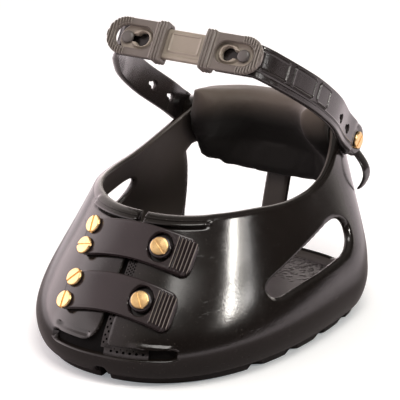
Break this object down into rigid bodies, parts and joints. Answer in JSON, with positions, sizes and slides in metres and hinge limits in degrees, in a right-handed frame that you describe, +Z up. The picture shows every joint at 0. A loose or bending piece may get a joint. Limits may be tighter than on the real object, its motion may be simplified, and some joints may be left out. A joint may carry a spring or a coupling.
{
  "type": "horse hoof boot",
  "caption": "Low moulded hoof boot with toe straps on screw buttons, a hinged pastern loop with sliding lock rings and a padded heel cuff.",
  "frame": {"origin": "on the ground, under the middle of the foot, on the flat middle pad of the sole", "axes": "+Z up, toe towards -Y, heel towards +Y, +X to the right when the boot is seen from the toe, and left and right in the names are meant so"},
  "size_m": [0.1326, 0.1748, 0.1406],
  "materials": {
    "shell": "glossy black moulded plastic",
    "toe_strap": "semi-gloss dark purple-grey",
    "pastern_strap": "semi-gloss black",
    "centre_strap": "semi-gloss grey-brown",
    "lock_ring": "matt grey-brown, ribbed grips",
    "brass": "bright turned brass",
    "steel": "plain",
    "cuff": "soft padded, dark brown"
  },
  "bodies": {
    "boot": {"boot_shell": "shell", "upper_toe_strap_anchor": "toe_strap", "lower_toe_strap_anchor": "toe_strap", "upper_strap_top_screw": "brass", "upper_strap_bottom_screw": "brass", "lower_strap_top_screw": "brass", "lower_strap_bottom_screw": "brass", "upper_button_screw": "brass", "lower_button_screw": "brass", "upper_button_collar": "toe_strap", "lower_button_collar": "toe_strap", "upper_strap_top_nut": "steel", "upper_strap_bottom_nut": "steel", "lower_strap_top_nut": "steel", "lower_strap_bottom_nut": "steel", "upper_button_nut": "steel", "lower_button_nut": "steel", "left_pivot_screw": "brass", "right_pivot_screw": "brass", "left_pivot_nut": "steel", "right_pivot_nut": "steel", "heel_cuff": "cuff"},
    "upper_flap": {"upper_toe_strap_flap": "toe_strap"},
    "lower_flap": {"lower_toe_strap_flap": "toe_strap"},
    "pastern_loop": {"left_side_strap": "pastern_strap", "right_side_strap": "pastern_strap", "left_strap_stud": "pastern_strap", "right_strap_stud": "pastern_strap", "centre_strap": "centre_strap"},
    "left_lock": {"left_lock_ring": "lock_ring"},
    "right_lock": {"right_lock_ring": "lock_ring"}
  },
  "joints": [
    {"name": "pastern_loop_swing", "type": "hinge", "parent": "boot", "child": "pastern_loop", "pos_m": [0, 0.077, 0.0695], "axis": [-1, 0, 0], "range_deg": [-14, 80]},
    {"name": "upper_toe_strap_fold", "type": "hinge", "parent": "boot", "child": "upper_flap", "pos_m": [-0.00833, -0.04964, 0.05636], "axis": [0.0027, -0.626, -0.7798], "range_deg": [0, 110], "stiffness_Nm_per_rad": 0.002},
    {"name": "lower_toe_strap_fold", "type": "hinge", "parent": "boot", "child": "lower_flap", "pos_m": [-0.00827, -0.06602, 0.03761], "axis": [0.001, -0.6684, -0.7438], "range_deg": [0, 110], "stiffness_Nm_per_rad": 0.002},
    {"name": "left_lock_slide", "type": "slide", "parent": "pastern_loop", "child": "left_lock", "axis": [1, 0, 0], "range_m": [-0.0007, 0.002]},
    {"name": "right_lock_slide", "type": "slide", "parent": "pastern_loop", "child": "right_lock", "axis": [-1, 0, 0], "range_m": [-0.0007, 0.002]}
  ]
}
